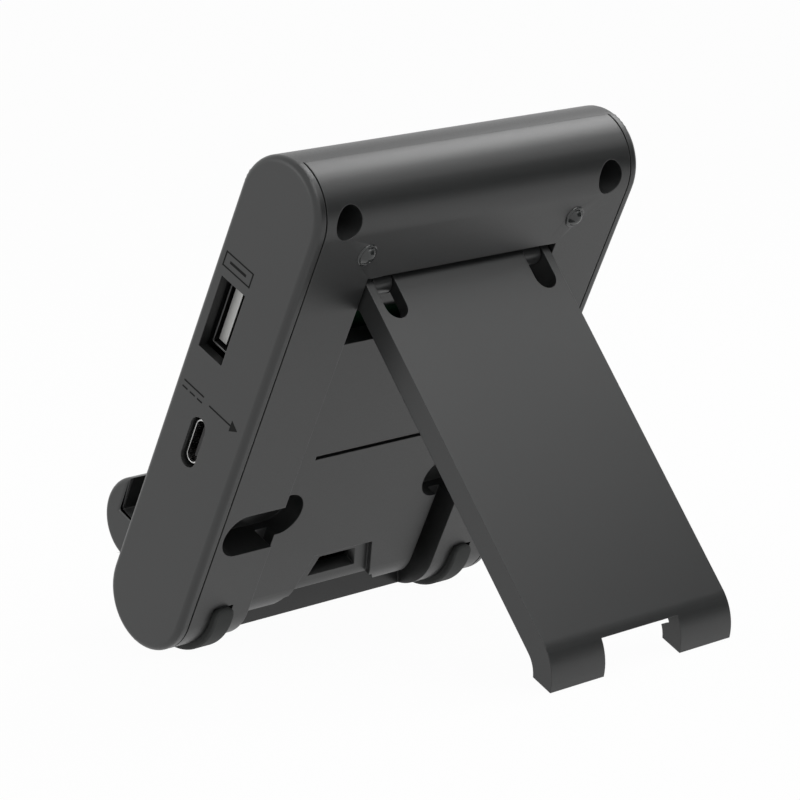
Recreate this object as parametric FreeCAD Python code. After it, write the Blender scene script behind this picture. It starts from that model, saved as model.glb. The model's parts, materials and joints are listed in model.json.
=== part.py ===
import FreeCAD, Part
import math
import os

# Body of the stand, upright: X across, Y from the front face to the rear face, Z up along the body
body_width = 80.0
body_thickness = 20.0
body_height = 102.8
shell_wall = 2.0
end_wall = 2.0
end_edge_radius = 1.2
seam_gap = 0.08

# Recess in the rear cover that takes the folded kickstand
recess_half_width = 23.55
recess_top = 31.95
panel_half_width = 20.6
panel_depth = 2.7
panel_wall = 1.8
channel_depth = 5.0
channel_wall = 1.5
recess_wall = 1.6
panel_top = 15.7
bridge_bottom = 19.1
bridge_nose_radius = 3.1
landing_angle = 65.0
landing_wall = 1.8
panel_end_angle = 30.0
pocket_end_angle = 15.0
panel_notch_half = 11.1
panel_notch_flare = 1.5
groove_half_length = 16.8
groove_height = -9.9
groove_width = 0.8
groove_depth = 0.8

# Finger pockets at the sides of the recess
finger_inner = 15.5
finger_outer = 36.7
finger_height = -21.9
finger_width = 8.8
finger_floor = 3.3
finger_wall = 1.2

# Pocket and catch in the lower part of the panel
pocket_depth = 1.1
pocket_top = -34.4
pocket_top_half = 7.35
pocket_bottom_half = 10.3
catch_top = -36.0
catch_bottom = -40.2
catch_top_half = 4.6
catch_bottom_half = 6.0
catch_taper = 0.8
catch_depth = 1.5
catch_wall = 0.9

# Kickstand
kick_half_width = 23.0
kick_plate = 2.4
kick_side = 4.3
flange_width = 1.9
hinge_height = 28.9
hinge_bore_clearance = 0.06
pin_radius = 0.9
pin_end_gap = 0.1
open_angle = 63.3
foot_inner_half = 9.7
notch_angle = 12.6
foot_start_angle = 34.0
notch_rib_angle = 18.5
notch_rib_width = 1.2
sole_angle = 52.0
kick_slot_inner = 16.15
kick_slot_outer = 21.2
kick_slot_reach = 8.2
tab_half_width = 3.2
tab_height = 1.8
tab_reach = 2.2

# Hinge lugs of the rear cover
lug_gap = 0.35
lug_radius = 2.05
lug_bore_clearance = 0.02

# Screws and their bosses
screw_x = 32.5
screw_height = 44.35
screw_hole_radius = 3.0
screw_seat = 1.6
screw_head_radius = 2.4
screw_head_height = 1.8
screw_shank_radius = 1.2
screw_shank_length = 6.5
screw_shank_clearance = 0.15
boss_radius = 3.6
ledge_boss_radius = 2.5
rear_boss_radius = 4.4

# Domes below the screw holes
dome_x = 25.9
dome_height_on_body = 37.3
dome_radius = 2.0
dome_rise = 0.6

# Rubber feet
foot_x = 30.5
foot_width = 4.6
foot_rise = 1.3
foot_sink = 0.6
foot_gap = 0.05
foot_top_angle = -16.0
foot_end_angle = 96.0
foot_corner_radius = 1.9
foot_edge_radius = 0.5

# Ledge that carries the console
ledge_half_width = 26.0
ledge_reach = 19.4
ledge_nose_radius = 8.3
ledge_top = -35.4
ledge_floor = -43.0
console_gap = 15.0
ledge_wall = 1.8
ledge_base_thickness = 1.6
ledge_end_radius = 1.0
fit_gap = 0.1

# Console plug
plug_from_front = 7.4
plug_width = 8.34
plug_thickness = 2.5
plug_reach = 6.4
plug_body_width = 12.0
plug_body_thickness = 6.0
plug_board_width = 22.0
plug_board_depth = 11.0
plug_board_thickness = 1.0
plug_window_width = 9.4
plug_window_thickness = 3.4
cable_width = 9.0
cable_thickness = 1.0

# Ports in the end wall
usb_y = -4.1
usb_z = 16.55
usb_opening_y = 6.5
usb_opening_z = 14.7
usb_shell_y = 5.7
usb_shell_z = 13.3
usb_shell_wall = 0.35
usb_shell_depth = 13.6
usb_shell_setback = 0.5
usb_tongue_thickness = 1.9
usb_tongue_width = 10.6
usb_tongue_reach = 9.0
power_y = -1.3
power_z = -7.6
power_opening_y = 3.9
power_opening_z = 10.2
power_shell_y = 3.2
power_shell_z = 9.0
power_shell_wall = 0.3
power_shell_depth = 7.6
power_shell_setback = 0.9
power_tongue_thickness = 0.7
power_tongue_width = 6.7
power_tongue_reach = 4.8

# Main board
board_front = 0.4
board_thickness = 1.2
board_left = -24.0
board_right = 36.8
board_bottom = -36.0
board_top = 31.0
board_post_x = 16.0
board_post_low = -32.5
board_post_high = 27.0
board_post_radius = 2.4
board_screw_head_radius = 1.7
board_screw_head_height = 1.1
board_screw_shank_radius = 0.8
board_screw_shank_length = 5.0
chip_size = 7.0
chip_thickness = 1.1
chip_x = 2.0
chip_z = 4.0

# Pads that the console touches
pad_thickness = 1.0
pad_sink = 0.4
rest_pad_x = 24.0
rest_pad_z = 36.0
rest_pad_length = 16.0
rest_pad_width = 5.0

# Places that follow from the sizes above
outer_radius = body_thickness / 2.0
inner_radius = outer_radius - shell_wall
half_width = body_width / 2.0
inside_half = half_width - end_wall
cover_half = inside_half - seam_gap
arc_height = body_height / 2.0 - outer_radius
panel_y = outer_radius - panel_depth
channel_y = outer_radius - channel_depth
hinge_y = outer_radius - kick_side / 2.0
barrel_radius = kick_side / 2.0
board_rear = board_front + board_thickness
ledge_bottom = -body_height / 2.0
lip_rear_y = -outer_radius - console_gap
ledge_front_y = -outer_radius - ledge_reach
plug_y = -outer_radius - plug_from_front


def point(x, y, z):
    return FreeCAD.Vector(x, y, z)


def block(x_low, x_high, y_low, y_high, z_low, z_high):
    return Part.makeBox(x_high - x_low, y_high - y_low, z_high - z_low, point(x_low, y_low, z_low))


def rod_x(radius, x_low, x_high, y, z):
    return Part.makeCylinder(radius, x_high - x_low, point(x_low, y, z), point(1, 0, 0))


def rod_y(radius, x, y_low, y_high, z):
    return Part.makeCylinder(radius, y_high - y_low, point(x, y_low, z), point(0, 1, 0))


def rod_z(radius, x, y, z_low, z_high):
    return Part.makeCylinder(radius, z_high - z_low, point(x, y, z_low), point(0, 0, 1))


def polygon_face(corners):
    return Part.Face(Part.makePolygon(corners + [corners[0]]))


def section_prism(corners, x_low, x_high):
    # corners are (y, z) pairs of a section across X
    face = polygon_face([point(x_low, y, z) for y, z in corners])
    return face.extrude(point(x_high - x_low, 0, 0))


def stadium(radius, x_low, x_high):
    # the body's whole section, flat faces with round top and bottom
    middle = block(x_low, x_high, -radius, radius, -arc_height, arc_height)
    top = rod_x(radius, x_low, x_high, 0, arc_height)
    bottom = rod_x(radius, x_low, x_high, 0, -arc_height)
    return middle.fuse([top, bottom]).removeSplitter()


def half_stadium(radius, x_low, x_high, side):
    reach = body_thickness
    y_low, y_high = (0, reach) if side > 0 else (-reach, 0)
    keep = block(x_low, x_high, y_low, y_high, -body_height, body_height)
    return stadium(radius, x_low, x_high).common(keep)


def on_arc(radius, angle):
    # a point on a circle about the lower arc's centre, angle measured from the rear down
    turn = math.radians(angle)
    return radius * math.cos(turn), -arc_height - radius * math.sin(turn)


def wedge(angle_low, angle_high, reach, x_low, x_high):
    steps = 4
    corners = [(0.0, -arc_height)]
    for step in range(steps + 1):
        corners.append(on_arc(reach, angle_low + (angle_high - angle_low) * step / steps))
    return section_prism(corners, x_low, x_high)


def ring_sector(r_low, r_high, angle_low, angle_high, x_low, x_high):
    ring = rod_x(r_high, x_low, x_high, 0, -arc_height)
    ring = ring.cut(rod_x(r_low, x_low, x_high, 0, -arc_height))
    return ring.common(wedge(angle_low, angle_high, 2.0 * r_high, x_low, x_high))


def long_slot_y(x_low, x_high, z_middle, width, y_low, y_high):
    radius = width / 2.0
    slot = block(x_low + radius, x_high - radius, y_low, y_high, z_middle - radius, z_middle + radius)
    ends = [rod_y(radius, x, y_low, y_high, z_middle) for x in (x_low + radius, x_high - radius)]
    return slot.fuse(ends).removeSplitter()


def long_slot_x(x_low, x_high, y_middle, z_middle, size_y, size_z):
    radius = size_y / 2.0
    reach = size_z / 2.0 - radius
    slot = block(x_low, x_high, y_middle - radius, y_middle + radius, z_middle - reach, z_middle + reach)
    ends = [rod_x(radius, x_low, x_high, y_middle, z_middle + side * reach) for side in (-1, 1)]
    return slot.fuse(ends).removeSplitter()


def long_slot_z(x_middle, y_middle, size_x, size_y, z_low, z_high):
    radius = size_y / 2.0
    reach = size_x / 2.0 - radius
    slot = block(x_middle - reach, x_middle + reach, y_middle - radius, y_middle + radius, z_low, z_high)
    ends = [rod_z(radius, x_middle + side * reach, y_middle, z_low, z_high) for side in (-1, 1)]
    return slot.fuse(ends).removeSplitter()


def end_plate(side):
    # one end wall with its rounded outer edge
    x_low, x_high = (inside_half, half_width) if side > 0 else (-half_width, -inside_half)
    plate = stadium(outer_radius, x_low, x_high)
    rim = [edge for edge in plate.Edges if abs(edge.CenterOfMass.x - side * half_width) < 1e-6]
    return plate.makeFillet(end_edge_radius, rim)


def foot_groove(side):
    half = foot_width / 2.0 + foot_gap
    middle = side * foot_x
    spare = math.degrees(foot_gap / outer_radius)
    return ring_sector(outer_radius - foot_sink - foot_gap, outer_radius + foot_rise,
                       foot_top_angle - spare, foot_end_angle + spare, middle - half, middle + half)


def make_front_shell():
    shell = half_stadium(outer_radius, -inside_half, inside_half, -1)
    shell = shell.cut(half_stadium(inner_radius, -inside_half, inside_half, -1))
    parts = [end_plate(1), end_plate(-1)]
    inside = half_stadium(outer_radius - shell_wall / 2.0, -inside_half, inside_half, -1)
    for side in (-1, 1):
        post = rod_y(boss_radius, side * screw_x, -outer_radius, 0, screw_height)
        parts.append(post.common(inside))
        for z in (board_post_low, board_post_high):
            post = rod_y(board_post_radius, side * board_post_x, -inner_radius - shell_wall / 2.0,
                         board_front, z)
            parts.append(post)
    shell = shell.fuse(parts).removeSplitter()
    cuts = [block(inside_half - end_wall, half_width + end_wall, usb_y - usb_opening_y / 2.0,
                  usb_y + usb_opening_y / 2.0, usb_z - usb_opening_z / 2.0, usb_z + usb_opening_z / 2.0),
            long_slot_x(inside_half - end_wall, half_width + end_wall, power_y, power_z,
                        power_opening_y, power_opening_z)]
    for side in (-1, 1):
        pilot_end = screw_seat - screw_shank_length - 1.0
        cuts.append(rod_y(screw_shank_radius, side * screw_x, pilot_end, outer_radius, screw_height))
        for z in (board_post_low, board_post_high):
            cuts.append(rod_y(board_screw_shank_radius, side * board_post_x,
                              board_front - board_screw_shank_length, outer_radius, z))
        cuts.append(foot_groove(side))
        cuts.append(rest_pad(side, fit_gap / 2.0))
        x = side * ledge_screw_x()
        cuts.append(rod_y(screw_shank_radius + screw_shank_clearance, x, -2.0 * outer_radius, 0,
                          ledge_screw_z()))
        cuts.append(rod_y(screw_head_radius + 2.0 * fit_gap, x, ledge_screw_seat(), 0, ledge_screw_z()))
    cuts.append(cable_window())
    return shell.cut(cuts)


def recess_cut(floor_y, x_low, x_high, z_top):
    # everything outside a floor that runs straight down the body and round the lower arc
    reach = 2.0 * outer_radius
    straight = block(x_low, x_high, floor_y, reach, -arc_height, z_top)
    round_part = ring_sector(floor_y, reach, -1.0, landing_angle, x_low, x_high)
    return straight.fuse(round_part)


def tub():
    # closed block behind the whole recess, later opened from both sides
    half = recess_half_width + recess_wall
    floor_y = channel_y - channel_wall
    straight = block(-half, half, floor_y, outer_radius, -arc_height, recess_top + recess_wall)
    spare = math.degrees(landing_wall / outer_radius)
    round_part = ring_sector(floor_y, outer_radius, -1.0, landing_angle + 1.6 * spare, -half, half)
    whole = straight.fuse(round_part).removeSplitter()
    relief_half = panel_half_width - channel_wall
    relief = block(-relief_half, relief_half, 0, panel_y - panel_wall, -arc_height + 1.0,
                   panel_top - panel_wall)
    return whole.cut(relief)


def bridge_nose():
    # the rounded lower edge of the floor under the hinge
    centre_y = channel_y - bridge_nose_radius
    centre_z = bridge_bottom + bridge_nose_radius
    half = recess_half_width
    nose = rod_x(bridge_nose_radius, -half, half, centre_y, centre_z)
    nose = nose.cut(rod_x(bridge_nose_radius - channel_wall, -half, half, centre_y, centre_z))
    keep = block(-half, half, centre_y, channel_y + 1.0, bridge_bottom - 1.0, centre_z)
    return nose.common(keep)


def finger_block(side):
    x_low, x_high = sorted((side * (finger_inner - finger_wall), side * (finger_outer + finger_wall)))
    solid = long_slot_y(x_low, x_high, finger_height, finger_width + 2.0 * finger_wall,
                        finger_floor - finger_wall, outer_radius - shell_wall / 2.0)
    return solid


def finger_slot(side):
    x_low, x_high = sorted((side * finger_inner, side * finger_outer))
    return long_slot_y(x_low, x_high, finger_height, finger_width, finger_floor, 2.0 * outer_radius)


def catch_block():
    half = catch_bottom_half + 2.0 * catch_wall
    depth = pocket_depth + catch_depth + catch_wall
    return block(-half, half, panel_y - depth, panel_y - pocket_depth, catch_bottom - catch_wall,
                 catch_top + catch_wall)


def trapezoid(y, z_low, z_high, half_low, half_high):
    return Part.makePolygon([point(-half_low, y, z_low), point(half_low, y, z_low),
                             point(half_high, y, z_high), point(-half_high, y, z_high),
                             point(-half_low, y, z_low)])


def catch_cut():
    # a funnel that narrows into the catch, and the mouth behind it
    floor_y = panel_y - pocket_depth
    wide = trapezoid(floor_y, catch_bottom, catch_top, catch_bottom_half, catch_top_half)
    narrow = trapezoid(floor_y - catch_depth, catch_bottom + catch_taper, catch_top - catch_taper,
                       catch_bottom_half - catch_taper, catch_top_half - catch_taper)
    funnel = Part.makeLoft([narrow, wide], True)
    mouth = Part.Face(narrow).extrude(point(0, -2.0 * catch_wall, 0))
    return funnel.fuse(mouth)


def pocket_cut():
    # shallow pocket that widens downwards and follows the arc at the panel's lower end
    low = on_arc(panel_y, pocket_end_angle)[1]
    face = Part.Face(trapezoid(0, low, pocket_top, pocket_bottom_half, pocket_top_half))
    outline = face.extrude(point(0, 2.0 * outer_radius, 0))
    half = pocket_bottom_half
    return recess_cut(panel_y - pocket_depth, -half, half, pocket_top).common(outline)


def panel_end_cut():
    # the panel's lower end: lower at the sides, notched with sloping corners in the middle
    half = panel_half_width
    reach = 2.0 * outer_radius
    sides = ring_sector(channel_y, reach, panel_end_angle, landing_angle, -half, half)
    middle = ring_sector(channel_y, reach, pocket_end_angle, landing_angle, -half, half)
    high = on_arc(panel_y, pocket_end_angle)[1]
    low = on_arc(panel_y, panel_end_angle)[1]
    wide = panel_notch_half + panel_notch_flare
    slope = Part.Face(trapezoid(0, low, high, wide, panel_notch_half)).extrude(point(0, reach, 0))
    below = block(-wide, wide, 0, reach, -body_height, low)
    above = block(-panel_notch_half, panel_notch_half, 0, reach, high, 0)
    return sides.fuse(middle.common(slope.fuse([below, above])))


def lug(side):
    # an ear of the rear cover that carries the hinge pin
    x_low, x_high = sorted((side * (kick_slot_inner + lug_gap), side * (kick_slot_outer - lug_gap)))
    eye = rod_x(lug_radius, x_low, x_high, hinge_y, hinge_height)
    leg = block(x_low, x_high, channel_y - channel_wall / 2.0, hinge_y, hinge_height - lug_radius,
                hinge_height + lug_radius)
    bore = rod_x(pin_radius + lug_bore_clearance, x_low, x_high, hinge_y, hinge_height)
    return eye.fuse(leg).cut(bore)


def dome(side):
    ball_radius = (dome_radius ** 2 + dome_rise ** 2) / (2.0 * dome_rise)
    centre = point(side * dome_x, outer_radius + dome_rise - ball_radius, dome_height_on_body)
    ball = Part.makeSphere(ball_radius, centre)
    keep = rod_y(dome_radius, side * dome_x, outer_radius - shell_wall / 2.0, outer_radius + dome_rise,
                 dome_height_on_body)
    return ball.common(keep)


def make_rear_cover():
    outer = half_stadium(outer_radius, -cover_half, cover_half, 1)
    cover = outer.cut(half_stadium(inner_radius, -cover_half, cover_half, 1))
    parts = [tub().common(outer), bridge_nose()]
    for side in (-1, 1):
        parts.append(finger_block(side))
        parts.append(rod_y(rear_boss_radius, side * screw_x, 0, outer_radius, screw_height).common(outer))
    cover = cover.fuse(parts).removeSplitter()
    cuts = []
    half = recess_half_width
    for side in (-1, 1):
        x_low, x_high = sorted((side * panel_half_width, side * half))
        cuts.append(recess_cut(channel_y, x_low, x_high, recess_top))
    inner = panel_half_width
    cuts.append(recess_cut(panel_y, -inner, inner, panel_top))
    cuts.append(panel_end_cut())
    cuts.append(block(-inner, inner, 0, 2.0 * outer_radius, panel_top, bridge_bottom))
    cuts.append(block(-inner, inner, channel_y, 2.0 * outer_radius,
                      bridge_bottom + bridge_nose_radius, recess_top))
    nose_y = channel_y - bridge_nose_radius
    nose_z = bridge_bottom + bridge_nose_radius
    corner = block(-inner, inner, nose_y, 2.0 * outer_radius, bridge_bottom - 0.1, nose_z)
    cuts.append(corner.cut(rod_x(bridge_nose_radius, -half, half, nose_y, nose_z)))
    cuts.append(block(-groove_half_length, groove_half_length, panel_y - groove_depth, outer_radius,
                      groove_height - groove_width / 2.0, groove_height + groove_width / 2.0))
    cover = cover.cut(cuts)
    cover = cover.fuse([catch_block(), lug(-1), lug(1), dome(-1), dome(1)]).removeSplitter()
    cuts = [pocket_cut(), catch_cut()]
    for side in (-1, 1):
        cuts.append(finger_slot(side))
        cuts.append(rod_y(screw_hole_radius, side * screw_x, screw_seat, 2.0 * outer_radius, screw_height))
        cuts.append(rod_y(screw_shank_radius + screw_shank_clearance, side * screw_x, -1.0,
                          screw_seat + 1.0, screw_height))
        cuts.append(foot_groove(side))
    return cover.cut(cuts)


def make_kickstand():
    # modelled folded into the recess, then turned open about the pin
    half = kick_half_width
    inner_y = outer_radius - kick_plate
    side_y = outer_radius - kick_side
    plate = block(-half, half, inner_y, outer_radius, -arc_height, hinge_height)
    parts = [rod_x(barrel_radius, -half, half, hinge_y, hinge_height),
             ring_sector(inner_y, outer_radius, -0.5, notch_angle, -half, half)]
    end_angle = sole_angle + 20.0
    for side in (-1, 1):
        x_low, x_high = sorted((side * (half - flange_width), side * half))
        parts.append(block(x_low, x_high, side_y, outer_radius, -arc_height, hinge_height))
        parts.append(ring_sector(side_y, outer_radius, -0.5, end_angle, x_low, x_high))
        x_low, x_high = sorted((side * foot_inner_half, side * (foot_inner_half + notch_rib_width)))
        parts.append(ring_sector(side_y, outer_radius, notch_rib_angle, end_angle, x_low, x_high))
        x_low, x_high = sorted((side * foot_inner_half, side * half))
        parts.append(ring_sector(inner_y, outer_radius, notch_angle - 0.5, end_angle, x_low, x_high))
        parts.append(ring_sector(side_y, outer_radius, foot_start_angle, end_angle, x_low, x_high))
    leg = plate.fuse(parts).removeSplitter()
    leg = leg.fuse(block(-tab_half_width, tab_half_width, panel_y - pocket_depth - tab_reach / 2.0,
                         inner_y, tab_z() - tab_height / 2.0, tab_z() + tab_height / 2.0))
    cuts = [rod_x(pin_radius + hinge_bore_clearance, -half, half, hinge_y, hinge_height)]
    for side in (-1, 1):
        x_low, x_high = sorted((side * kick_slot_inner, side * kick_slot_outer))
        radius = (x_high - x_low) / 2.0
        end_z = hinge_height - kick_slot_reach + radius
        cuts.append(block(x_low, x_high, 0, 2.0 * outer_radius, end_z, body_height))
        cuts.append(rod_y(radius, (x_low + x_high) / 2.0, 0, 2.0 * outer_radius, end_z))
    leg = open_leg(leg.cut(cuts))
    sole = sole_corner()[1]
    return leg.cut(block(-half, half, 0, 2.0 * body_height, sole - outer_radius, sole))


def tab_z():
    return (catch_top + catch_bottom) / 2.0


def open_leg(shape):
    turned = shape.copy()
    turned.rotate(point(0, hinge_y, hinge_height), point(1, 0, 0), open_angle)
    return turned


def make_hinge_pin():
    reach = kick_half_width - pin_end_gap
    return rod_x(pin_radius, -reach, reach, hinge_y, hinge_height)


def make_foot(side):
    half = foot_width / 2.0
    middle = side * foot_x
    strip = ring_sector(outer_radius - foot_sink, outer_radius + foot_rise, foot_top_angle,
                        foot_end_angle, middle - half, middle + half)
    corners = [edge for edge in strip.Edges if is_radial(edge)]
    strip = strip.makeFillet(foot_corner_radius, corners)
    crown = [edge for edge in strip.Edges if is_crown(edge)]
    return strip.makeFillet(foot_edge_radius, crown)


def arc_radius_of(vertex_point):
    return math.hypot(vertex_point.y, vertex_point.z + arc_height)


def is_radial(edge):
    if not isinstance(edge.Curve, Part.Line):
        return False
    ends = [arc_radius_of(vertex.Point) for vertex in edge.Vertexes]
    return abs(ends[0] - ends[1]) > foot_rise


def is_crown(edge):
    radii = [arc_radius_of(edge.valueAt(value)) for value in edge.ParameterRange]
    return all(abs(radius - outer_radius - foot_rise) < 1e-4 for radius in radii)


def screw(x, y_seat, z, head_radius, head_height, shank_radius, shank_length, direction):
    # direction is +1 when the head lies on the +Y side of its seat
    head = rod_y(head_radius, x, min(y_seat, y_seat + direction * head_height),
                 max(y_seat, y_seat + direction * head_height), z)
    shank = rod_y(shank_radius, x, min(y_seat, y_seat - direction * shank_length),
                  max(y_seat, y_seat - direction * shank_length), z)
    top = y_seat + direction * head_height
    recess = cross_recess(head_radius).copy()
    recess.rotate(point(0, 0, 0), point(1, 0, 0), -90.0 * direction)
    recess.translate(point(x, top, z))
    return head.fuse(shank).cut(recess)


def cross_recess(head_radius):
    # drive recess cut down from the top of a head that lies at z = 0, head pointing up
    arm = 0.62 * head_radius
    width = 0.24 * head_radius
    depth = 0.4 * head_radius
    first = block(-arm, arm, -width / 2.0, width / 2.0, -depth, depth)
    second = block(-width / 2.0, width / 2.0, -arm, arm, -depth, depth)
    return first.fuse(second)


def make_case_screws():
    screws = [screw(side * screw_x, screw_seat, screw_height, screw_head_radius, screw_head_height,
                    screw_shank_radius - fit_gap / 4.0, screw_shank_length, 1) for side in (-1, 1)]
    return Part.makeCompound(screws)


def make_board_screws():
    screws = []
    for side in (-1, 1):
        for z in (board_post_low, board_post_high):
            screws.append(screw(side * board_post_x, board_rear, z, board_screw_head_radius,
                                board_screw_head_height, board_screw_shank_radius - fit_gap / 4.0,
                                board_screw_shank_length - board_thickness, 1))
    return Part.makeCompound(screws)


def ledge_screw_x():
    return ledge_half_width - 8.0


def ledge_screw_z():
    return (ledge_floor + ledge_bottom) / 2.0 + 0.3


def ledge_screw_seat():
    # depth inside the front shell at which the head stops
    drop = ledge_screw_z() + arc_height
    return -math.sqrt(outer_radius ** 2 - drop ** 2) + shell_wall + 0.6


def make_cradle_screws():
    screws = [screw(side * ledge_screw_x(), ledge_screw_seat(), ledge_screw_z(), screw_head_radius,
                    screw_head_height, screw_shank_radius - fit_gap / 4.0, screw_shank_length, 1)
              for side in (-1, 1)]
    return Part.makeCompound(screws)


def ledge_profile():
    # section of the ledge with its round nose and flat-topped lip
    nose_y = ledge_front_y + ledge_nose_radius
    nose_z = ledge_bottom + ledge_nose_radius
    half = ledge_half_width
    bar = block(-half, half, nose_y, 0, ledge_bottom, ledge_floor)
    nose = rod_x(ledge_nose_radius, -half, half, nose_y, nose_z)
    keep = block(-half, half, ledge_front_y - 1.0, nose_y, ledge_bottom - 1.0, ledge_top)
    lip_keep = block(-half, half, ledge_front_y - 1.0, lip_rear_y, ledge_bottom, ledge_top)
    lower_keep = block(-half, half, ledge_front_y - 1.0, nose_y, ledge_bottom, ledge_floor)
    nose = nose.common(keep)
    return bar.fuse([nose.common(lip_keep), nose.common(lower_keep)]).removeSplitter()


def make_cradle():
    whole = ledge_profile()
    ends = [edge for edge in whole.Edges if on_ledge_end(edge)]
    whole = whole.makeFillet(ledge_end_radius, ends)
    whole = whole.cut(stadium(outer_radius, -half_width, half_width))
    inner = ledge_half_width - ledge_wall
    cavity = block(-inner, inner, lip_rear_y + 0.6, -outer_radius - ledge_wall,
                   ledge_bottom - 1.0, ledge_floor - ledge_wall)
    whole = whole.cut([cavity, cradle_base(fit_gap)])
    posts = []
    for side in (-1, 1):
        posts.append(rod_y(ledge_boss_radius, side * ledge_screw_x(), -outer_radius - ledge_wall - 4.0,
                           -outer_radius - ledge_wall + 0.5, ledge_screw_z()))
        posts.append(rod_z(boss_radius - 1.0, side * base_screw_x(), base_screw_y(),
                           ledge_bottom + ledge_base_thickness + fit_gap, ledge_floor - ledge_wall + 0.5))
    whole = whole.fuse(posts).removeSplitter()
    cuts = [long_slot_z(0, plug_y, plug_window_width, plug_window_thickness,
                        ledge_floor - 2.0 * ledge_wall, ledge_floor + 1.0), cable_window()]
    for side in (-1, 1):
        cuts.append(rod_y(screw_shank_radius, side * ledge_screw_x(), -outer_radius - ledge_wall - 3.5, 0,
                          ledge_screw_z()))
        cuts.append(rod_z(board_screw_shank_radius, side * base_screw_x(), base_screw_y(),
                          ledge_bottom, ledge_bottom + ledge_base_thickness + 3.5))
    cuts.append(cradle_pad(fit_gap / 2.0))
    return whole.cut(cuts)


def on_ledge_end(edge):
    return abs(abs(edge.CenterOfMass.x) - ledge_half_width) < 1e-6


def base_screw_x():
    return ledge_half_width - 4.5


def base_screw_y():
    return (lip_rear_y - outer_radius) / 2.0


def cradle_base(extra):
    half = ledge_half_width - ledge_wall / 2.0 + extra
    y_low = ledge_front_y + ledge_nose_radius - 1.0 - extra
    y_high = -outer_radius - ledge_wall / 3.0 + extra
    top = ledge_bottom + ledge_base_thickness + extra
    return block(-half, half, y_low, y_high, ledge_bottom - extra, top)


def make_cradle_base():
    plate = cradle_base(0.0)
    uprights = [edge for edge in plate.Edges if is_upright(edge)]
    plate = plate.makeFillet(fit_gap + 0.4, uprights)
    nose = rod_x(ledge_nose_radius, -half_width, half_width, ledge_front_y + ledge_nose_radius,
                 ledge_bottom + ledge_nose_radius)
    floor = block(-half_width, half_width, ledge_front_y + ledge_nose_radius, 0, ledge_bottom, ledge_floor)
    plate = plate.common(nose.fuse(floor))
    cuts = []
    for side in (-1, 1):
        x, y = side * base_screw_x(), base_screw_y()
        cuts.append(rod_z(board_screw_shank_radius + fit_gap, x, y, ledge_bottom - 1.0, 0))
        cuts.append(rod_z(board_screw_head_radius + fit_gap, x, y, ledge_bottom - 1.0,
                          ledge_bottom + board_screw_head_height))
    return plate.cut(cuts)


def is_upright(edge):
    ends = [vertex.Point for vertex in edge.Vertexes]
    return len(ends) == 2 and abs(ends[0].x - ends[1].x) + abs(ends[0].y - ends[1].y) < 1e-6


def make_base_screws():
    screws = []
    for side in (-1, 1):
        x, y = side * base_screw_x(), base_screw_y()
        seat = ledge_bottom + board_screw_head_height
        head = rod_z(board_screw_head_radius, x, y, ledge_bottom, seat)
        shank = rod_z(board_screw_shank_radius - fit_gap / 4.0, x, y, seat,
                      seat + board_screw_shank_length - 2.0)
        recess = cross_recess(board_screw_head_radius).copy()
        recess.rotate(point(0, 0, 0), point(1, 0, 0), 180)
        recess.translate(point(x, y, ledge_bottom))
        screws.append(head.fuse(shank).cut(recess))
    return Part.makeCompound(screws)


def plug_board_top():
    return ledge_bottom + ledge_base_thickness + fit_gap + 0.8 + plug_board_thickness


def make_plug_board():
    half = plug_board_width / 2.0
    top = plug_board_top()
    board = block(-half, half, plug_y - plug_board_depth / 2.0, plug_y + plug_board_depth / 2.0,
                  top - plug_board_thickness, top)
    legs = [rod_z(0.8, side * (half - 1.5), plug_y, ledge_bottom + ledge_base_thickness,
                  top - plug_board_thickness) for side in (-1, 1)]
    return board.fuse(legs).removeSplitter()


def make_plug_body():
    half_x, half_y = plug_body_width / 2.0, plug_body_thickness / 2.0
    top = ledge_floor - ledge_wall
    body = block(-half_x, half_x, plug_y - half_y, plug_y + half_y, plug_board_top(), top)
    uprights = [edge for edge in body.Edges if is_upright(edge)]
    return body.makeFillet(1.5, uprights)


def make_plug_shell():
    # the metal tip that enters the console
    low = ledge_floor - ledge_wall
    outer = long_slot_z(0, plug_y, plug_width, plug_thickness, low, ledge_floor + plug_reach)
    hollow = long_slot_z(0, plug_y, plug_width - 0.6, plug_thickness - 0.6, low + 1.0,
                         ledge_floor + plug_reach + 1.0)
    return outer.cut(hollow)


def cable_route(grow):
    # flat cable from the plug's board into the front shell and up to the main board
    half = cable_width / 2.0 + grow
    low = plug_board_top()
    thick = cable_thickness
    first_y = plug_y + plug_board_depth / 2.0 - 2.0
    last_y = board_front - thick
    level = block(-half, half, first_y, last_y + thick + grow, low - grow, low + thick + grow)
    rise = block(-half, half, last_y - grow, last_y + thick, low - grow, board_bottom + 3.0)
    return level, rise


def make_plug_cable():
    level, rise = cable_route(0.0)
    return level.fuse(rise).removeSplitter()


def cable_window():
    level, rise = cable_route(0.4)
    keep = block(-half_width, half_width, -outer_radius - 2.0 * ledge_wall, -1.0, -body_height, 0)
    return level.common(keep)


def cradle_pad(extra):
    half = ledge_half_width - 4.0 + extra
    y_low = lip_rear_y + 1.0 - extra
    y_high = -outer_radius - 1.0 + extra
    low = ledge_floor - pad_sink
    return block(-half, half, y_low, y_high, low - extra, low + pad_thickness)


def make_cradle_pad():
    pad = cradle_pad(0.0)
    uprights = [edge for edge in pad.Edges if is_upright(edge)]
    pad = pad.makeFillet(2.0, uprights)
    return pad.cut(long_slot_z(0, plug_y, plug_window_width, plug_window_thickness,
                               ledge_floor - 2.0, ledge_floor + 2.0))


def rest_pad(side, extra):
    middle = side * rest_pad_x
    half = rest_pad_length / 2.0 + extra
    return long_slot_y(middle - half, middle + half, rest_pad_z, rest_pad_width + 2.0 * extra,
                       -outer_radius - pad_thickness + pad_sink, -outer_radius + pad_sink + extra)


def make_rest_pads():
    return Part.makeCompound([rest_pad(side, 0.0) for side in (-1, 1)])


def usb_front_x():
    return inside_half - usb_shell_setback


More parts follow.
